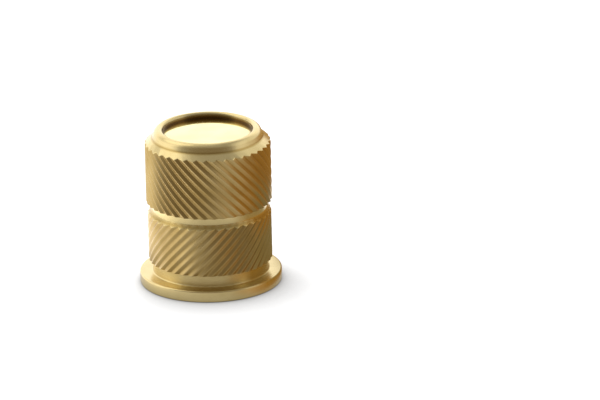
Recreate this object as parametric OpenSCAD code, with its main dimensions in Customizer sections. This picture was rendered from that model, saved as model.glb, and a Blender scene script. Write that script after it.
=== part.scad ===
// Flanged blind threaded insert of turned brass, M6.
// It stands on its flange with the closed end up: origin at the centre of the flange's face, +Z along
// the axis towards the closed end. All sizes are in millimetres.

/* [Flange and neck] */
// Diameter of the flange
flange_d = 9.8; // [9:0.1:14]
// Thickness of the flange
flange_t = 0.8; // [0.5:0.05:2]
// Radius that rounds the flange's two edges
flange_round = 0.12; // [0.05:0.01:0.2]
// Diameter of the plain neck above the flange
neck_d = 8; // [7.4:0.1:8.1]
// Height of the neck, from the flange to the edge of the lower band
neck_h = 0.85; // [0.6:0.05:3]
// Radius of the fillet between the neck and the flange
neck_fillet = 0.1; // [0.05:0.01:0.3]

/* [Lower knurled band] */
// Diameter over the teeth of the lower band
lower_d = 8.55; // [8.3:0.05:9]
// Length of the lower band over its teeth
lower_l = 3.35; // [2:0.05:8]
// Number of teeth round the lower band
lower_teeth = 39; // [24:1:44]
// Depth of the grooves between the lower band's teeth
lower_depth = 0.11; // [0.05:0.01:0.24]
// Share of the lower band's pitch that is flat crest
lower_crest = 0.2; // [0.1:0.05:0.7]
// Height of the cone that leads from the lower band's teeth into the turned groove
lead_h = 0.3; // [0.1:0.05:0.35]

/* [Upper knurled band] */
// Diameter over the teeth of the upper band
upper_d = 8.7; // [8.5:0.05:9.2]
// Length of the upper band over its teeth
upper_l = 4.2; // [2:0.05:8]
// Number of teeth round the upper band
upper_teeth = 39; // [24:1:44]
// Depth of the grooves between the upper band's teeth
upper_depth = 0.12; // [0.05:0.01:0.3]
// Share of the upper band's pitch that is flat crest
upper_crest = 0.15; // [0.1:0.05:0.7]

/* [Both knurled bands] */
// Angle of the teeth from the axis; the two bands have opposite hands
helix = 45; // [20:1:50]
// Share of the pitch that is flat at the bottom of a groove
root_share = 0.1; // [0.05:0.01:0.2]
// Width of the turned groove between the two bands' teeth
groove_w = 0.85; // [0.4:0.05:2]
// Diameter at the bottom of the turned groove
groove_d = 7.9; // [7.4:0.1:8]

/* [Closed end] */
// Height of the sloping shoulder above the upper band
shoulder_h = 0.42; // [0.2:0.02:1]
// Height of the rolled rim above the shoulder
rim_h = 0.58; // [0.5:0.02:1]
// Thickness of the rim's foot round the disc's seat
rim_wall = 0.45; // [0.3:0.01:0.5]
// Angle by which the rim's side leans in from the axis
rim_lean = 20; // [0:1:30]
// Radius that rounds the outside of the rolled lip
lip_round = 0.44; // [0.2:0.02:0.5]
// Radius that rounds the inner edge of the rolled lip
lip_edge = 0.2; // [0.04:0.01:0.2]
// How far the lip reaches in over the disc
lip_over = 0.25; // [0.1:0.01:0.4]

/* [Closing disc] */
// Diameter of the disc that shuts the bore
disc_d = 6.7; // [6.2:0.1:6.9]
// Thickness of the disc
disc_t = 0.5; // [0.3:0.05:0.8]
// Depth of the disc's face below the top of the lip
disc_recess = 0.4; // [0.35:0.05:0.8]
// Radius that rounds the disc's edges
disc_round = 0.06; // [0.02:0.01:0.1]
// Gap all round between the disc and its seat
disc_clearance = 0.03; // [0.01:0.01:0.08]

/* [Bore] */
// Nominal diameter of the metric thread
thread_d = 6; // [4:0.5:6]
// Pitch of the thread
thread_pitch = 1; // [0.5:0.25:1]
// Diameter of the plain counterbore at the flange
counterbore_d = 6.4; // [6.1:0.1:7]
// Depth of the counterbore's straight wall
counterbore_depth = 1.15; // [0.5:0.05:3]
// Full angle of the cone that leads from the counterbore into the thread
lead_in_angle = 120; // [60:5:150]
// Chamfer at the counterbore's mouth
mouth_chamfer = 0.08; // [0.03:0.01:0.2]

/* [Hidden] */
// Heights up the axis
lower_z = flange_t + neck_h;
lower_top = lower_z + lower_l;
upper_z = lower_top + groove_w;
upper_top = upper_z + upper_l;
rim_z = upper_top + shoulder_h;
total_h = rim_z + rim_h;
disc_top = total_h - disc_recess;
disc_z = disc_top - disc_t;

// Radii
flange_r = flange_d / 2;
neck_r = neck_d / 2;
groove_r = groove_d / 2;
lower_r = lower_d / 2;
upper_r = upper_d / 2;
disc_r = disc_d / 2;
seat_r = disc_r + disc_clearance;
rim_r = seat_r + rim_wall;
lip_r = disc_r - lip_over;
bore_r = (thread_d - thread_pitch) / 2;
counterbore_r = counterbore_d / 2;
lead_in_h = (counterbore_r - bore_r) / tan(lead_in_angle / 2);

// How far cuts run past a face, and how far joined shapes run into each other
past = 0.2;
// Steps along the axis in which a band's teeth wind round
band_slices = 8;
$fn = 96;

// What rounding takes off a convex corner that points along +X and +Y, with the arc's centre at the origin
module corner_cut(radius) {
    difference() {
        square(radius + past);
        circle(radius);
    }
}

// What a fillet adds in a concave corner that opens along +X and +Y, with the corner at the origin
module fillet(radius) {
    difference() {
        square(radius);
        translate([radius, radius]) circle(radius);
    }
}

// Outline of the teeth seen along the axis: flat crests and grooves with sloping sides
module tooth_outline(crest_r, teeth, depth, crest) {
    pitch = 360 / teeth;
    root_r = crest_r - depth;
    side = (1 - crest - root_share) / 2;
    polygon([
        for (i = [0 : teeth - 1])
            for (corner = [
                [crest_r, 0],
                [crest_r, crest],
                [root_r, crest + side],
                [root_r, crest + side + root_share]
            ])
                let (turn = (i + corner[1]) * pitch)
                corner[0] * [cos(turn), sin(turn)]
    ]);
}

// The two ends of a line between two points, drawn out past both of them
function drawn_out(from, to) =
    let (step = past * (to - from) / norm(to - from))
    [from - step, to + step];

// Half outline that trims a band: square at its lower end, and a cone from its teeth to the point above
module band_limits(crest_r, z, top, above) {
    cone = drawn_out([crest_r, top], above);
    outside = crest_r + past;
    polygon([
        [0, z],
        [outside, z],
        [outside, cone[0][1]],
        cone[0],
        cone[1],
        [0, cone[1][1]]
    ]);
}

// Knurled band from z up to top, whose teeth wind to the hand given, 1 for right and -1 for left.
// A cone leads from the top of the teeth to the point above, given as a radius and a height.
module knurled_band(crest_r, z, top, teeth, depth, crest, hand, above) {
    height = above[1] - z + 2 * past;
    wind = height * tan(helix) / crest_r * 180 / PI;
    intersection() {
        translate([0, 0, z - past])
            linear_extrude(height, twist = -hand * wind, slices = band_slices)
                tooth_outline(crest_r, teeth, depth, crest);
        rotate_extrude()
            band_limits(crest_r, z, top, above);
    }
}

module lower_band() {
    knurled_band(lower_r, lower_z, lower_top, lower_teeth, lower_depth, lower_crest, 1,
        [groove_r, lower_top + lead_h]);
}

module upper_band() {
    knurled_band(upper_r, upper_z, upper_top, upper_teeth, upper_depth, upper_crest, -1,
        [rim_r, rim_z]);
}

// Half outline of the flange, the neck and the bottom of the turned groove
module turned_outline() {
    difference() {
        square([flange_r, flange_t]);
        translate([flange_r - flange_round, flange_t - flange_round])
            corner_cut(flange_round);
        translate([flange_r - flange_round, flange_round])
            mirror([0, 1])
            corner_cut(flange_round);
    }
    square([neck_r, lower_z + past]);
    translate([neck_r, flange_t])
        fillet(neck_fillet);
    translate([0, lower_top - past])
        square([groove_r, groove_w + 2 * past]);
}

// Half outline of the rim: its wall starts below the disc's seat, its side leans in and its lip is rolled
module rim_outline() {
    foot_z = disc_z - past;
    side_z = total_h - lip_round * (1 - sin(rim_lean));
    side_r = rim_r - (side_z - rim_z) * tan(rim_lean);
    roll_r = side_r - lip_round * cos(rim_lean);
    difference() {
        union() {
            polygon([
                [0, foot_z],
                [rim_r, foot_z],
                [rim_r, rim_z],
                [side_r, side_z],
                [roll_r, total_h],
                [0, total_h]
            ]);
            translate([roll_r, total_h - lip_round])
                circle(lip_round);
        }
        translate([lip_r + lip_edge, total_h - lip_edge])
            mirror([1, 0])
            corner_cut(lip_edge);
    }
}

// Half outline of everything that is bored out, from the flange's face to the lip
module bored_outline() {
    translate([0, -past])
        square([counterbore_r, past + counterbore_depth]);
    polygon([
        [0, -past],
        [counterbore_r + mouth_chamfer + past, -past],
        [counterbore_r, mouth_chamfer],
        [0, mouth_chamfer]
    ]);
    polygon([
        [0, counterbore_depth],
        [counterbore_r, counterbore_depth],
        [bore_r, counterbore_depth + lead_in_h],
        [0, counterbore_depth + lead_in_h]
    ]);
    square([bore_r, disc_z + past]);
    translate([0, disc_z])
        square([seat_r, disc_t]);
    translate([0, disc_top - past])
        square([lip_r, disc_recess + 2 * past]);
}

// Turned and knurled body
module insert_body() {
    color([0.78, 0.62, 0.33])
    difference() {
        union() {
            rotate_extrude() turned_outline();
            lower_band();
            upper_band();
            rotate_extrude() rim_outline();
        }
        rotate_extrude() bored_outline();
    }
}

// Flat disc that rests on the ledge under the lip
module closing_disc() {
    color([0.9, 0.82, 0.55])
    rotate_extrude()
    translate([0, disc_z])
    difference() {
        square([disc_r, disc_t]);
        translate([disc_r - disc_round, disc_t - disc_round])
            corner_cut(disc_round);
        translate([disc_r - disc_round, disc_round])
            mirror([0, 1])
            corner_cut(disc_round);
    }
}

insert_body();
closing_disc();
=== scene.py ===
"""Looks of the brass insert: the knurled and threaded body, its closing disc and a pale studio.

Sizes are in millimetres, named as on the part, and become metres when a mesh is made.
"""

import math

import bmesh
import bpy
import numpy as np
from mathutils import Matrix, Vector


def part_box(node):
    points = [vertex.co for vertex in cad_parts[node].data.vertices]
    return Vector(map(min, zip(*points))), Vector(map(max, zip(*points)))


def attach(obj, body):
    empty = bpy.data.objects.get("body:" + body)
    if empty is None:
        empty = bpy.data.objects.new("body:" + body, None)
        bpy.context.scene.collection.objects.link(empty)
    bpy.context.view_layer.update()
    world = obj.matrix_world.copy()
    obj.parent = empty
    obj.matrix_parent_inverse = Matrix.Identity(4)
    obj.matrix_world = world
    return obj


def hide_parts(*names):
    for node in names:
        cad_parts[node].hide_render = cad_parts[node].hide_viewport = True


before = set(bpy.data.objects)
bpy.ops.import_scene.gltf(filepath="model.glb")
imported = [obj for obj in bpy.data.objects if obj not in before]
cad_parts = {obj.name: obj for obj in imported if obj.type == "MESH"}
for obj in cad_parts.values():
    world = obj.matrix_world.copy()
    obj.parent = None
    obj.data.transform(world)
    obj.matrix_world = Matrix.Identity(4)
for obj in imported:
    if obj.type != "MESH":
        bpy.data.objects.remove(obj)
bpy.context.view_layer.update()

MM = 0.001
TURN = 2 * math.pi

# Sizes that the frame gives
body_low, body_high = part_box("insert_body")
disc_low, disc_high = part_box("closing_disc")
FLANGE_R = (body_high.x - body_low.x) / 2 / MM
TOTAL_H = body_high.z / MM
DISC_R = (disc_high.x - disc_low.x) / 2 / MM
DISC_Z = disc_low.z / MM
DISC_TOP = disc_high.z / MM

# Flange, neck and turned groove
FLANGE_T = 0.8
FLANGE_ROUND = 0.12
NECK_R = 4.0
NECK_H = 0.85
NECK_FILLET = 0.1
GROOVE_R = 3.95
GROOVE_W = 0.85

# Knurled bands: the lower one is right-handed, the upper one left-handed
LOWER = {"radius": 4.275, "length": 3.35, "teeth": 39, "depth": 0.11, "crest": 0.08, "hand": 1}
UPPER = {"radius": 4.35, "length": 4.2, "teeth": 39, "depth": 0.12, "crest": 0.07, "hand": -1}
HELIX = math.radians(45)
ROOT_SHARE = 0.1
LEAD_H = 0.3
RUN_IN = 0.2
CREST_EDGE = 0.03
ROOT_EDGE = 0.09
TOOTH_END_EDGE = 0.03

# Closed end
SHOULDER_H = 0.42
RIM_WALL = 0.45
RIM_LEAN = 20
LIP_ROUND = 0.44
LIP_EDGE = 0.2
LIP_OVER = 0.25
DISC_CLEARANCE = 0.03
DISC_ROUND = 0.06

# Bore
THREAD_R = 3.0
THREAD_PITCH = 1.0
BORE_R = THREAD_R - THREAD_PITCH / 2
COUNTERBORE_R = 3.2
COUNTERBORE_DEPTH = 1.15
LEAD_IN = math.radians(60)
MOUTH_CHAMFER = 0.08
THREAD_CREST = 0.25
THREAD_ROOT = 0.125

# Heights up the axis and radii that follow
LOWER_Z = FLANGE_T + NECK_H
LOWER_TOP = LOWER_Z + LOWER["length"]
UPPER_Z = LOWER_TOP + GROOVE_W
UPPER_TOP = UPPER_Z + UPPER["length"]
RIM_Z = UPPER_TOP + SHOULDER_H
SEAT_R = DISC_R + DISC_CLEARANCE
RIM_R = SEAT_R + RIM_WALL
LIP_R = DISC_R - LIP_OVER
ROLL_Z = TOTAL_H - LIP_ROUND
SIDE_Z = ROLL_Z + LIP_ROUND * math.sin(math.radians(RIM_LEAN))
SIDE_R = RIM_R - (SIDE_Z - RIM_Z) * math.tan(math.radians(RIM_LEAN))
ROLL_R = SIDE_R - LIP_ROUND * math.cos(math.radians(RIM_LEAN))
LEAD_TOP = LOWER_TOP + LEAD_H
GROOVE_MIDDLE = (LEAD_TOP + UPPER_Z) / 2
GROOVE_SEAM = 0.05

# How far from a corner the small turned edges start to bend
EDGE_SOFT = 0.03
MOUTH_SOFT = 0.02
RIM_SOFT = 0.04

# How finely the meshes are cut
BAND_STEPS = 20
CORNER_STEPS = 3
EDGE_STEPS = 2
ARC_STEPS = 6
THREAD_STEPS = (2, 3, 1, 3)
THREAD_RUN_OUT = 2
BORE_COLUMNS = 144
DISC_COLUMNS = 192
SHARP_ANGLE = math.radians(32)
BEND_LIMIT = 0.48
MERGE_DISTANCE = 1e-4


# Paths and rings

def bend(before, corner, after, reach, steps):
    """Points of a soft bend that replaces a corner, starting and ending `reach` from it.

    On a short side it takes no more than the share BEND_LIMIT.
    """
    back = before - corner
    on = after - corner
    back_length = np.linalg.norm(back, axis=-1, keepdims=True)
    on_length = np.linalg.norm(on, axis=-1, keepdims=True)
    start = corner + back / back_length * np.minimum(reach, BEND_LIMIT * back_length)
    end = corner + on / on_length * np.minimum(reach, BEND_LIMIT * on_length)
    points = []
    for t in np.linspace(0, 1, steps + 1):
        points.append((1 - t) ** 2 * start + 2 * t * (1 - t) * corner + t ** 2 * end)
    return points


def soft_path(corners, columns):
    """Radius and height of each point of a path whose corners may be soft, one row per point.

    A corner is (radius, height, reach, steps). Radius and height may differ from column to column.
    """
    full = []
    for radius, height, _, _ in corners:
        point = np.empty((columns, 2))
        point[:, 0] = radius
        point[:, 1] = height
        full.append(point)
    path = []
    for i, (_, _, reach, steps) in enumerate(corners):
        if reach == 0:
            path.append(full[i])
        else:
            path.extend(bend(full[i - 1], full[i], full[i + 1], reach, steps))
    path = np.array(path)
    return path[..., 0], path[..., 1]


def arc(centre_r, centre_z, radius, first, last):
    """Corners of a path along an arc between two angles in degrees, both ends included."""
    turns = np.radians(np.linspace(first, last, 2 * ARC_STEPS + 1))
    return [(centre_r + radius * math.cos(t), centre_z + radius * math.sin(t), 0, 0) for t in turns]


class Shell:
    """Points and faces of one closed piece, gathered ring by ring, in millimetres."""

    def __init__(self):
        self.points = []
        self.faces = []
        self.slots = []
        self.grooves = []

    def add_rings(self, radius, height, angle, slots, groove=0.0, seam_shift=0):
        """Adds one ring per row and joins neighbouring rings; `slots` gives each strip's material.

        A `seam_shift` joins the last column to the first one that many rows further on, as a thread needs.
        `groove` says how deep each point lies in a tooth groove, from 0 to 1.
        """
        rows, columns = radius.shape
        first = len(self.points)
        groove = np.broadcast_to(groove, radius.shape)
        places = np.stack([radius * np.cos(angle), radius * np.sin(angle), height], axis=-1)
        self.points.extend(map(tuple, places.reshape(-1, 3)))
        self.grooves.extend(groove.reshape(-1))
        index = first + np.arange(rows * columns).reshape(rows, columns)
        for i in range(rows - 1):
            for j in range(columns):
                beside = (j + 1) % columns
                k = i + (seam_shift if beside == 0 else 0)
                if k + 1 < rows:
                    corners = (index[i, j], index[k, beside], index[k + 1, beside], index[i + 1, j])
                    self.faces.append(corners)
                    self.slots.append(slots[i])
        return index

    def join(self, ring_a, angle_a, ring_b, angle_b, slot):
        """Joins two rings that have different numbers of points with a strip of triangles."""
        order_a = np.argsort(angle_a % TURN)
        order_b = np.argsort(angle_b % TURN)
        a = [(angle_a[i] % TURN, ring_a[i]) for i in order_a]
        b = [(angle_b[i] % TURN, ring_b[i]) for i in order_b]
        a.append((a[0][0] + TURN, a[0][1]))
        b.append((b[0][0] + TURN, b[0][1]))
        i = 0
        j = 0
        while i + 1 < len(a) or j + 1 < len(b):
            step_a = j + 1 == len(b) or (i + 1 < len(a) and a[i + 1][0] <= b[j + 1][0])
            if step_a:
                self.faces.append((a[i][1], a[i + 1][1], b[j][1]))
                i += 1
            else:
                self.faces.append((a[i][1], b[j + 1][1], b[j][1]))
                j += 1
            self.slots.append(slot)

    def close_end(self, ring, slot):
        """Closes a ring with one flat face."""
        self.faces.append(tuple(ring))
        self.slots.append(slot)

    def make(self, name, materials):
        """Turns the gathered faces into an object in metres."""
        mesh = bpy.data.meshes.new(name)
        mesh.from_pydata(np.array(self.points) * MM, [], self.faces)
        for material in materials:
            mesh.materials.append(material)
        mesh.polygons.foreach_set("material_index", self.slots)
        attribute = mesh.attributes.new("groove", "FLOAT", "POINT")
        attribute.data.foreach_set("value", self.grooves)
        tidy = bmesh.new()
        tidy.from_mesh(mesh)
        bmesh.ops.remove_doubles(tidy, verts=tidy.verts, dist=MERGE_DISTANCE * MM)
        bmesh.ops.dissolve_degenerate(tidy, edges=tidy.edges, dist=MERGE_DISTANCE * MM)
        bmesh.ops.recalc_face_normals(tidy, faces=tidy.faces)
        for face in tidy.faces:
            face.smooth = True
        for edge in tidy.edges:
            edge.smooth = edge.calc_face_angle(0) < SHARP_ANGLE
        tidy.to_mesh(mesh)
        tidy.free()
        piece = bpy.data.objects.new(name, mesh)
        bpy.context.scene.collection.objects.link(piece)
        return piece


# The body's mesh

TURNED, KNURLED, TAPPED = range(3)


def tooth_columns(band):
    """Angle, radius and depth share of each mesh column round a band, at the height where its teeth start."""
    pitch = TURN * band["radius"] / band["teeth"]
    side = (1 - band["crest"] - ROOT_SHARE) / 2
    shares = [0, band["crest"], band["crest"] + side, band["crest"] + side + ROOT_SHARE]
    drops = [0, 0, band["depth"], band["depth"]]
    corners = np.array([shares, drops]).T * [pitch, 1]
    edges = [CREST_EDGE, CREST_EDGE, ROOT_EDGE, ROOT_EDGE]
    outline = []
    for i in range(4):
        before = corners[i - 1] - [pitch * (i == 0), 0]
        after = corners[(i + 1) % 4] + [pitch * (i == 3), 0]
        outline.extend(bend(before, corners[i], after, edges[i], CORNER_STEPS))
    along, drop = np.array(outline).T
    teeth = np.arange(band["teeth"])[:, None]
    angle = ((along[None, :] + teeth * pitch) / band["radius"]).ravel()
    drop = np.tile(drop, band["teeth"])
    return angle, band["radius"] - drop, drop / band["depth"]


def wound(angle, height, band, start, low, high):
    """Angle of each point once the columns wind round the band with its teeth."""
    climb = np.clip(height, low, high) - start
    return angle + band["hand"] * math.tan(HELIX) * climb / band["radius"]


def band_path(band, z, tooth_r, rise):
    """Corners along one band, from its square lower end to the cone above it, for every column at once.

    The cone rises by `rise` for each unit of radius that it loses.
    """
    top = z + band["length"] + rise * (band["radius"] - tooth_r)
    corners = [(tooth_r, z, TOOTH_END_EDGE, CORNER_STEPS)]
    for t in np.linspace(0, 1, BAND_STEPS + 1)[1:-1]:
        corners.append((tooth_r, z + t * (top - z), 0, 0))
    corners.append((tooth_r, top, TOOTH_END_EDGE, CORNER_STEPS))
    return corners


def strip_slots(height, low, high):
    """Material of each strip between rings: knurled between two heights, turned elsewhere."""
    middle = height.mean(axis=1)
    centre = (middle[1:] + middle[:-1]) / 2
    return [KNURLED if low < z < high else TURNED for z in centre]


def lower_half(shell):
    """Flange, neck and lower band, from the counterbore's wall to the middle of the turned groove."""
    angle, tooth_r, depth = tooth_columns(LOWER)
    rise = LEAD_H / (LOWER["radius"] - GROOVE_R)
    corners = [
        (COUNTERBORE_R, COUNTERBORE_DEPTH / 2, 0, 0),
        (COUNTERBORE_R, MOUTH_CHAMFER, MOUTH_SOFT, EDGE_STEPS),
        (COUNTERBORE_R + MOUTH_CHAMFER, 0, MOUTH_SOFT, EDGE_STEPS),
        (FLANGE_R, 0, FLANGE_ROUND, ARC_STEPS),
        (FLANGE_R, FLANGE_T, FLANGE_ROUND, ARC_STEPS),
        (NECK_R, FLANGE_T, NECK_FILLET, ARC_STEPS),
        (NECK_R, LOWER_Z, EDGE_SOFT, EDGE_STEPS),
        *band_path(LOWER, LOWER_Z, tooth_r, rise),
        (GROOVE_R, LEAD_TOP, EDGE_SOFT, EDGE_STEPS),
        (GROOVE_R, GROOVE_MIDDLE - GROOVE_SEAM, 0, 0),
    ]
    radius, height = soft_path(corners, len(angle))
    turned = wound(angle[None, :], height, LOWER, LOWER_Z - RUN_IN, LOWER_Z, LEAD_TOP)
    teeth_top = LOWER_TOP + rise * LOWER["depth"]
    on_band = (height > LOWER_Z) & (height < teeth_top)
    slots = strip_slots(height, LOWER_Z, LOWER_TOP)
    return shell.add_rings(radius, height, turned, slots, np.where(on_band, depth, 0.0)), turned


def upper_half(shell):
    """Upper band, shoulder, rolled lip and seat, from the turned groove up to the ledge under the disc."""
    angle, tooth_r, depth = tooth_columns(UPPER)
    rise = SHOULDER_H / (UPPER["radius"] - RIM_R)
    corners = [
        (GROOVE_R, GROOVE_MIDDLE + GROOVE_SEAM, 0, 0),
        (GROOVE_R, UPPER_Z, EDGE_SOFT, EDGE_STEPS),
        *band_path(UPPER, UPPER_Z, tooth_r, rise),
        (RIM_R, RIM_Z, RIM_SOFT, EDGE_STEPS),
        *arc(ROLL_R, ROLL_Z, LIP_ROUND, RIM_LEAN, 90),
        *arc(LIP_R + LIP_EDGE, TOTAL_H - LIP_EDGE, LIP_EDGE, 90, 180),
        (LIP_R, DISC_TOP, 0, 0),
        (SEAT_R, DISC_TOP, 0, 0),
        (SEAT_R, DISC_Z, 0, 0),
    ]
    radius, height = soft_path(corners, len(angle))
    turned = wound(angle[None, :], height, UPPER, UPPER_Z - RUN_IN, UPPER_Z, RIM_Z)
    teeth_top = UPPER_TOP + rise * UPPER["depth"]
    on_band = (height > UPPER_Z) & (height < teeth_top)
    slots = strip_slots(height, UPPER_Z, UPPER_TOP)
    return shell.add_rings(radius, height, turned, slots, np.where(on_band, depth, 0.0)), turned


def tapped_bore(shell):
    """Right-hand thread that starts in the lead-in cone and runs out at the ledge.

    It is drawn some turns past both ends, and what lies past them is pressed flat.
    """
    flank = (1 - THREAD_CREST - THREAD_ROOT) / 2
    knots = np.cumsum([0, THREAD_CREST, flank, THREAD_ROOT, flank])
    knot_r = [BORE_R, BORE_R, THREAD_R, THREAD_R, BORE_R]
    shares = np.concatenate([
        np.linspace(knots[i], knots[i + 1], steps, endpoint=False) for i, steps in enumerate(THREAD_STEPS)
    ])
    turns = math.ceil((DISC_Z - COUNTERBORE_DEPTH) / THREAD_PITCH)
    turns = np.arange(-THREAD_RUN_OUT, turns + THREAD_RUN_OUT)
    climb = (turns[:, None] + shares[None, :]).ravel()[:, None]
    angle = np.arange(BORE_COLUMNS)[None, :] * TURN / BORE_COLUMNS
    height = COUNTERBORE_DEPTH + THREAD_PITCH * (climb + angle / TURN)
    height = np.clip(height, COUNTERBORE_DEPTH, DISC_Z)
    phase = ((height - COUNTERBORE_DEPTH) / THREAD_PITCH - angle / TURN) % 1
    thread = np.interp(phase, knots, knot_r)
    lead_in = COUNTERBORE_R - (height - COUNTERBORE_DEPTH) * math.tan(LEAD_IN)
    run_out = THREAD_R + MOUTH_CHAMFER - (DISC_Z - height)
    radius = np.maximum(thread, np.maximum(lead_in, run_out))
    angle = np.broadcast_to(angle, radius.shape)
    slots = [TAPPED] * (len(radius) - 1)
    rings = shell.add_rings(radius, height, angle, slots, seam_shift=len(shares))
    return rings, angle


def make_body(materials):
    """The whole body as one closed mesh: both halves, the bore, and the strips that join them."""
    shell = Shell()
    lower, lower_angle = lower_half(shell)
    upper, upper_angle = upper_half(shell)
    bore, bore_angle = tapped_bore(shell)
    shell.join(lower[-1], lower_angle[-1], upper[0], upper_angle[0], TURNED)
    shell.join(lower[0], lower_angle[0], bore[0], bore_angle[0], TURNED)
    shell.join(upper[-1], upper_angle[-1], bore[-1], bore_angle[-1], TURNED)
    return shell.make("knurled_body", materials)


def make_disc(material):
    """Flat disc with softened edges, closed above and below."""
    corners = [
        (DISC_R / 2, DISC_Z, 0, 0),
        (DISC_R, DISC_Z, DISC_ROUND, ARC_STEPS),
        (DISC_R, DISC_TOP, DISC_ROUND, ARC_STEPS),
        (DISC_R / 2, DISC_TOP, 0, 0),
    ]
    radius, height = soft_path(corners, DISC_COLUMNS)
    angle = np.broadcast_to(np.arange(DISC_COLUMNS) * TURN / DISC_COLUMNS, radius.shape)
    shell = Shell()
    rings = shell.add_rings(radius, height, angle, [0] * (len(radius) - 1))
    shell.close_end(rings[0], 0)
    shell.close_end(rings[-1], 0)
    return shell.make("polished_disc", [material])


# Materials

class Nodes:
    """Short way to build a material's or a world's nodes."""

    def __init__(self, tree):
        self.tree = tree
        tree.nodes.clear()

    def add(self, kind, inputs=None, **settings):
        made = self.tree.nodes.new(kind)
        for name, value in settings.items():
            setattr(made, name, value)
        for name, value in (inputs or {}).items():
            self.put(made.inputs[name], value)
        return made

    def put(self, socket, value):
        if isinstance(value, bpy.types.NodeSocket):
            self.tree.links.new(value, socket)
        else:
            socket.default_value = value

    def math(self, operation, *values):
        made = self.add("ShaderNodeMath", operation=operation)
        for socket, value in zip(made.inputs, values):
            self.put(socket, value)
        return made.outputs[0]

    def vector_math(self, operation, first, second=None):
        """A vector's length, or the dot product or the distance of two vectors."""
        made = self.add("ShaderNodeVectorMath", operation=operation)
        self.put(made.inputs[0], first)
        if second is not None:
            self.put(made.inputs[1], second)
        return made.outputs["Value"]

    def ramp(self, value, low, high, out_low, out_high):
        """Soft step from one output level to the other between two values."""
        made = self.add("ShaderNodeMapRange", {
            "Value": value, "From Min": low, "From Max": high, "To Min": out_low, "To Max": out_high
        }, interpolation_type="SMOOTHSTEP")
        return made.outputs["Result"]

    def mix(self, share, first, second):
        made = self.add("ShaderNodeMix", data_type="RGBA")
        self.put(made.inputs["Factor"], share)
        self.put(made.inputs["A"], first)
        self.put(made.inputs["B"], second)
        return made.outputs["Result"]


# Noise that draws lathe rings, clouds of tarnish and fine grain, in waves per millimetre
RING_SCALE = 22
CLOUD_SCALE = 0.55
GRAIN_SCALE = 7
# Levels of the clouds between which tarnish grows, and its largest share
TARNISH_RANGE = (0.35, 0.75)
TARNISH_SHARE = 0.6
# Levels of the clouds between which the roughness varies, and by which share of it
GLOSS_RANGE = (0.3, 0.7)
GLOSS_SPREAD = 0.15
# Depth share in a tooth groove from which painted shade darkens it
GROOVE_START = 0.2
# Turn of the stretched reflections that lays them across the lathe rings
STRETCH_TURN = 0.25
# Creases darkened with painted shade: radius and height of the middle, how far the shade reaches from it, its
# colour
CREASE_SHADE_SHARE = 0.9
CREASE_SHADE_RISE = 0.08
SHADED_CREASES = [
    (RIM_R, RIM_Z, 0.17, (0.42, 0.29, 0.09)),
    ((GROOVE_R + LOWER["radius"]) / 2, LEAD_TOP - LEAD_H / 2, 0.28, (0.42, 0.29, 0.09)),
    # nearly black painted shadow where the rolled lip overhangs the disc
    (LIP_R, DISC_TOP + CREASE_SHADE_RISE, 0.34, (0.08, 0.025, 0.003)),
]


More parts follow.
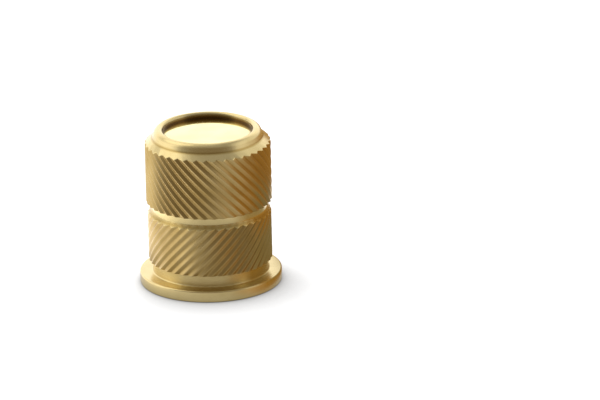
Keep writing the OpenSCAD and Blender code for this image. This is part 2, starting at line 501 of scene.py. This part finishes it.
def brass(name, bright, tarnish, roughness, stretch, ring_depth, grain_depth, groove_shade=0.0):
    """Brass with lathe rings round the axis, fine grain, a thin uneven tarnish and painted shade in its
    creases and tooth grooves.

    The rings stretch reflections across them by `stretch`, from 0 to 1, and tooth grooves get painted shade
    towards the tarnish colour, up to the share `groove_shade`. Depths are in millimetres.
    """
    material = bpy.data.materials.new(name)
    material.use_nodes = True
    nodes = Nodes(material.node_tree)
    place = nodes.add("ShaderNodeTexCoord").outputs["Object"]
    parts = nodes.add("ShaderNodeSeparateXYZ", {"Vector": place})
    radius = nodes.math("SQRT", nodes.math(
        "ADD",
        nodes.math("MULTIPLY", parts.outputs["X"], parts.outputs["X"]),
        nodes.math("MULTIPLY", parts.outputs["Y"], parts.outputs["Y"]),
    ))
    section = nodes.add("ShaderNodeCombineXYZ", {"X": radius, "Y": parts.outputs["Z"]}).outputs["Vector"]
    rings = nodes.add("ShaderNodeTexNoise", {"Vector": section, "Scale": RING_SCALE / MM, "Detail": 3.0})
    clouds = nodes.add("ShaderNodeTexNoise", {"Vector": place, "Scale": CLOUD_SCALE / MM, "Detail": 5.0})
    grain = nodes.add("ShaderNodeTexNoise", {"Vector": place, "Scale": GRAIN_SCALE / MM, "Detail": 3.0})
    tarnish_and_groove_shade = nodes.ramp(clouds.outputs["Fac"], *TARNISH_RANGE, 0.0, TARNISH_SHARE)
    # Painted shade: the deeper a point lies in a tooth groove, the darker it is
    if groove_shade:
        groove = nodes.add("ShaderNodeAttribute", attribute_name="groove").outputs["Fac"]
        groove_shade_share = nodes.ramp(groove, GROOVE_START, 1.0, 0.0, groove_shade)
        tarnish_and_groove_shade = nodes.math("MAXIMUM", tarnish_and_groove_shade, groove_shade_share)
    colour = nodes.mix(tarnish_and_groove_shade, (*bright, 1), (*tarnish, 1))
    # Painted shade: each crease darkens towards its own dark colour near its middle
    for crease_r, crease_z, reach, crease_shade in SHADED_CREASES:
        away = nodes.vector_math("DISTANCE", section, (crease_r * MM, crease_z * MM, 0))
        share = nodes.ramp(away, 0.0, reach * MM, CREASE_SHADE_SHARE, 0.0)
        colour = nodes.mix(share, colour, (*crease_shade, 1))
    smooth = (1 - GLOSS_SPREAD) * roughness
    rough = (1 + GLOSS_SPREAD) * roughness
    gloss = nodes.ramp(clouds.outputs["Fac"], *GLOSS_RANGE, smooth, rough)
    ring_bump = nodes.add("ShaderNodeBump", {
        "Height": rings.outputs["Fac"], "Strength": 1.0, "Distance": ring_depth * MM
    })
    bump = nodes.add("ShaderNodeBump", {
        "Height": grain.outputs["Fac"], "Strength": 1.0, "Distance": grain_depth * MM,
        "Normal": ring_bump.outputs["Normal"]
    })
    shader = nodes.add("ShaderNodeBsdfPrincipled", {
        "Base Color": colour, "Metallic": 1.0, "Roughness": gloss, "Normal": bump.outputs["Normal"]
    })
    if stretch:
        nodes.put(shader.inputs["Anisotropic"], stretch)
        nodes.put(shader.inputs["Anisotropic Rotation"], STRETCH_TURN)
        around = nodes.add("ShaderNodeTangent", direction_type="RADIAL", axis="Z")
        nodes.put(shader.inputs["Tangent"], around.outputs["Tangent"])
    nodes.add("ShaderNodeOutputMaterial", {"Surface": shader.outputs["BSDF"]})
    return material


BRIGHT_BRASS = (0.66, 0.525, 0.25)
TARNISHED_BRASS = (0.57, 0.445, 0.19)
KNURL_BRASS = (0.475, 0.345, 0.145)
KNURL_TARNISH = (0.38, 0.25, 0.07)
POLISHED_BRASS = (0.90, 0.80, 0.38)

turned_brass = brass(
    "turned_brass", BRIGHT_BRASS, TARNISHED_BRASS,
    roughness=0.22, stretch=0.9, ring_depth=0.0003, grain_depth=0.0002
)
knurled_brass = brass(
    "knurled_brass", KNURL_BRASS, KNURL_TARNISH,
    roughness=0.32, stretch=0.0, ring_depth=0.0, grain_depth=0.001, groove_shade=0.5
)
tapped_brass = brass(
    "tapped_brass", BRIGHT_BRASS, TARNISHED_BRASS,
    roughness=0.25, stretch=0.0, ring_depth=0.0006, grain_depth=0.0004
)
polished_brass = brass(
    "polished_brass", POLISHED_BRASS, BRIGHT_BRASS,
    roughness=0.08, stretch=0.0, ring_depth=0.0001, grain_depth=0.0001
)

body = make_body([turned_brass, knurled_brass, tapped_brass])
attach(body, "root")
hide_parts("insert_body")

disc = make_disc(polished_brass)
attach(disc, "root")
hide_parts("closing_disc")


# Studio: a pale floor and room, a glowing warm board for painted reflections, which only reflections show,
# and one soft lamp

FLOOR_SIZE = 2000
FLOOR_DROP = 0.001
FLOOR_COLOUR = (0.3, 0.3, 0.3)
# Light that reflections see on the floor: its level on the dim and the bright side, the azimuth of the bright
# side and the cosines between which it grows, how it weakens far from the object, and how little of the
# bright side reaches the object's foot
DIM_GLOW = 0.62
BRIGHT_GLOW = 2.1
BRIGHT_SIDE = -155
SIDE_RANGE = (-0.9, 0.95)
FAR_RANGE = (14.0, 24.0)
FAR_SHARE = 0.58
FOOT_RANGE = (5.4, 7.6)
FOOT_SHARE = 0.15
# Warm patch of painted reflection on the floor, which only reflections see: its azimuth, distance, extent and
# colour
WARM_AZIMUTH = 50
WARM_DISTANCE = 8.5
WARM_RANGE = (2.0, 4.6)
WARM_COLOUR = (0.95, 0.56, 0.2)
# Shade round the object's foot: how far it reaches, how steep it is in reflections and to the camera, and how
# much light offsets it to the camera on the dim and the bright side
SHADE_REACH = 12.0
SHADE_DEPTH = 1.25
CONTACT_DEPTH = 2.5
CONTACT_CLEAR = (1.3, 2.3)
SHADE_SAMPLES = 16


def direction(azimuth, elevation):
    """Unit vector from the object; azimuth 0 points to the camera's side and 90 to the right."""
    a = math.radians(azimuth)
    e = math.radians(elevation)
    return Vector((math.sin(a) * math.cos(e), -math.cos(a) * math.cos(e), math.sin(e)))


def floor_material():
    """White to the camera, with a soft shade round the object, and unevenly lit in reflections."""
    material = bpy.data.materials.new("pale_floor")
    material.use_nodes = True
    nodes = Nodes(material.node_tree)
    path = nodes.add("ShaderNodeLightPath").outputs
    direct = nodes.math("MAXIMUM", path["Is Camera Ray"], path["Is Transmission Ray"])
    place = nodes.add("ShaderNodeTexCoord").outputs["Object"]
    outward = nodes.add("ShaderNodeVectorMath", operation="NORMALIZE")
    nodes.put(outward.inputs[0], place)
    towards = nodes.vector_math("DOT_PRODUCT", outward.outputs["Vector"], direction(BRIGHT_SIDE, 0))
    side = nodes.ramp(towards, *SIDE_RANGE, 0.0, 1.0)
    away = nodes.math("DIVIDE", nodes.vector_math("LENGTH", place), MM)
    foot = nodes.ramp(away, *FOOT_RANGE, FOOT_SHARE, 1.0)
    far = nodes.ramp(away, *FAR_RANGE, 1.0, FAR_SHARE)
    lit = nodes.math("MULTIPLY_ADD", nodes.math("MULTIPLY", side, foot), BRIGHT_GLOW - DIM_GLOW, DIM_GLOW)
    shading = nodes.add("ShaderNodeAmbientOcclusion", {"Distance": SHADE_REACH * MM}, samples=SHADE_SAMPLES)
    open_share = shading.outputs["AO"]
    shade = nodes.math("POWER", open_share, SHADE_DEPTH)
    reflected = nodes.math("MULTIPLY", nodes.math("MULTIPLY", lit, far), shade)
    clear = nodes.math("MULTIPLY_ADD", side, CONTACT_CLEAR[1] - CONTACT_CLEAR[0], CONTACT_CLEAR[0])
    contact = nodes.math("MULTIPLY", clear, nodes.math("POWER", open_share, CONTACT_DEPTH))
    seen = nodes.math(
        "ADD",
        nodes.math("MULTIPLY", direct, nodes.math("MINIMUM", contact, 1.0)),
        nodes.math("MULTIPLY", path["Is Glossy Ray"], reflected),
    )
    # Painted warm reflection: the floor's glow turns warm round this spot for glossy rays only
    warm_middle = direction(WARM_AZIMUTH, 0) * WARM_DISTANCE * MM
    warm = nodes.math("DIVIDE", nodes.vector_math("DISTANCE", place, warm_middle), MM)
    warm = nodes.math("MULTIPLY", nodes.ramp(warm, *WARM_RANGE, 1.0, 0.0), path["Is Glossy Ray"])
    tint = nodes.mix(warm, (1, 1, 1, 1), (*WARM_COLOUR, 1))
    both = nodes.add("ShaderNodeAddShader")
    nodes.put(both.inputs[0], nodes.add("ShaderNodeBsdfDiffuse", {"Color": (*FLOOR_COLOUR, 1)}).outputs[0])
    nodes.put(both.inputs[1], nodes.add("ShaderNodeEmission", {"Color": tint, "Strength": seen}).outputs[0])
    nodes.add("ShaderNodeOutputMaterial", {"Surface": both.outputs[0]})
    return material


def make_floor():
    mesh = bpy.data.meshes.new("floor")
    half = FLOOR_SIZE / 2 * MM
    corners = [(-half, -half, 0), (half, -half, 0), (half, half, 0), (-half, half, 0)]
    mesh.from_pydata(corners, [], [(0, 1, 2, 3)])
    mesh.materials.append(floor_material())
    floor = bpy.data.objects.new("floor", mesh)
    floor.location.z = -FLOOR_DROP * MM
    bpy.context.scene.collection.objects.link(floor)


# Room: its level, and patches laid over one another. A patch has the azimuth and elevation of its middle, the
# angles from there at which it starts to fade and is gone, and a colour.
ROOM_LEVEL = (0.5, 0.5, 0.5)
ROOM_PATCHES = [
    (105, 15, 25, 55, (1.1, 1.1, 1.1)),
    (-118, 18, 28, 58, (1.65, 1.65, 1.65)),
    (-130, 52, 15, 45, (1.0, 1.0, 1.0)),
    (180, 10, 22, 50, (1.6, 1.6, 1.6)),
    (2, 5, 28, 66, (0.27, 0.225, 0.165)),
]


def make_room():
    """Pale room, bright at the back and on both sides and dim behind the camera."""
    world = bpy.data.worlds.new("room")
    bpy.context.scene.world = world
    world.use_nodes = True
    nodes = Nodes(world.node_tree)
    ray = nodes.add("ShaderNodeTexCoord").outputs["Generated"]
    room = (*ROOM_LEVEL, 1)
    for azimuth, elevation, inner, outer, colour in ROOM_PATCHES:
        towards = nodes.vector_math("DOT_PRODUCT", ray, direction(azimuth, elevation))
        low = math.cos(math.radians(outer))
        high = math.cos(math.radians(inner))
        room = nodes.mix(nodes.ramp(towards, low, high, 0.0, 1.0), room, (*colour, 1))
    background = nodes.add("ShaderNodeBackground", {"Color": room, "Strength": 1.0})
    nodes.add("ShaderNodeOutputWorld", {"Surface": background.outputs[0]})


# Glowing board beside the object, which paints warm reflections on its right side. Each row has a height, a
# colour, how fully it covers what is behind it and the azimuth where it ends; towards both ends the board
# fades away.
BOARD_ROWS = [
    (0.0, (0.42, 0.24, 0.05), 1.0, 150),
    (1.1, (0.42, 0.24, 0.05), 1.0, 150),
    (1.7, (0.38, 0.35, 0.25), 1.0, 140),
    (4.2, (0.38, 0.35, 0.25), 1.0, 128),
    (4.9, (0.52, 0.31, 0.09), 1.0, 172),
    (10.5, (0.52, 0.31, 0.09), 1.0, 172),
    (12.3, (0.52, 0.31, 0.09), 0.0, 172),
]
BOARD_SPAN = (35, 172)
BOARD_FADE = 25
BOARD_FOOT_R = 5.4
BOARD_LEAN = 0.37
BOARD_STEPS = 28


def make_board():
    """Glowing board that leans outwards beside the object and paints warm reflections; only reflections show
    it.
    """
    points = []
    colours = []
    covers = []
    faces = []
    rows = len(BOARD_ROWS)
    for i, azimuth in enumerate(np.linspace(*BOARD_SPAN, BOARD_STEPS + 1)):
        for j, (height, colour, cover, last) in enumerate(BOARD_ROWS):
            inside = max(0, min(azimuth - BOARD_SPAN[0], last - azimuth))
            reach = BOARD_FOOT_R + BOARD_LEAN * height
            points.append((direction(azimuth, 0) * reach + Vector((0, 0, height))) * MM)
            colours.extend((*colour, 1))
            covers.append(cover * min(1, inside / BOARD_FADE))
            if i and j:
                corner = i * rows + j
                faces.append((corner - rows - 1, corner - 1, corner, corner - rows))
    mesh = bpy.data.meshes.new("board")
    mesh.from_pydata(points, [], faces)
    mesh.attributes.new("tint", "FLOAT_COLOR", "POINT").data.foreach_set("color", colours)
    mesh.attributes.new("cover", "FLOAT", "POINT").data.foreach_set("value", covers)
    board = bpy.data.objects.new("board", mesh)
    bpy.context.scene.collection.objects.link(board)
    material = bpy.data.materials.new("board")
    material.use_nodes = True
    nodes = Nodes(material.node_tree)
    tint = nodes.add("ShaderNodeAttribute", attribute_name="tint").outputs["Color"]
    cover = nodes.add("ShaderNodeAttribute", attribute_name="cover").outputs["Fac"]
    # Painted reflection: where it covers, the board glows with its own tint
    faded = nodes.add("ShaderNodeMixShader", {"Fac": cover})
    nodes.put(faded.inputs[1], nodes.add("ShaderNodeBsdfTransparent").outputs[0])
    nodes.put(faded.inputs[2], nodes.add("ShaderNodeEmission", {"Color": tint, "Strength": 1.0}).outputs[0])
    nodes.add("ShaderNodeOutputMaterial", {"Surface": faded.outputs[0]})
    mesh.materials.append(material)
    board.visible_camera = False
    board.visible_diffuse = False
    board.visible_shadow = False


LAMP_SIZE = 250
LAMP_DISTANCE = 350
LAMP_AZIMUTH = -120
LAMP_ELEVATION = 55
LAMP_WATTS = 0.12


def make_lamp():
    data = bpy.data.lights.new("softbox", "AREA")
    data.shape = "DISK"
    data.size = LAMP_SIZE * MM
    data.energy = LAMP_WATTS
    lamp = bpy.data.objects.new("softbox", data)
    towards = direction(LAMP_AZIMUTH, LAMP_ELEVATION)
    lamp.location = towards * LAMP_DISTANCE * MM
    lamp.rotation_euler = towards.to_track_quat("Z", "Y").to_euler()
    bpy.context.scene.collection.objects.link(lamp)


# Camera at the photograph's angle

IMAGE_W = 600
IMAGE_H = 400
SENSOR_MM = 36.0
CLIP = (10, 10000)
FOCAL_PX = 12000
PX_PER_MM = 14.46
ELEVATION = math.radians(19.8)
LEAN = math.radians(1.38)
FOOT_PX = (211.3, 278.2)


def make_camera():
    """Long lens; FOOT_PX is where the centre of the flange's face falls in the image."""
    data = bpy.data.cameras.new("camera")
    data.sensor_width = SENSOR_MM
    data.lens = FOCAL_PX / IMAGE_W * SENSOR_MM
    data.clip_start = CLIP[0] * MM
    data.clip_end = CLIP[1] * MM
    camera = bpy.data.objects.new("camera", data)
    back = Vector((0, -math.cos(ELEVATION), math.sin(ELEVATION)))
    right = Vector((1, 0, 0))
    up = back.cross(right)
    level_right = right * math.cos(LEAN) - up * math.sin(LEAN)
    level_up = up * math.cos(LEAN) + right * math.sin(LEAN)
    across = (FOOT_PX[0] - IMAGE_W / 2) / PX_PER_MM * MM
    above = (IMAGE_H / 2 - FOOT_PX[1]) / PX_PER_MM * MM
    distance = FOCAL_PX / PX_PER_MM * MM
    place = back * distance - level_right * across - level_up * above
    turn = Matrix((level_right, level_up, back)).transposed()
    camera.matrix_world = Matrix.Translation(place) @ turn.to_4x4()
    bpy.context.scene.collection.objects.link(camera)
    bpy.context.scene.camera = camera


make_floor()
make_room()
make_board()
make_lamp()
make_camera()
bpy.context.scene.view_settings.view_transform = "Standard"

bpy.context.view_layer.update()
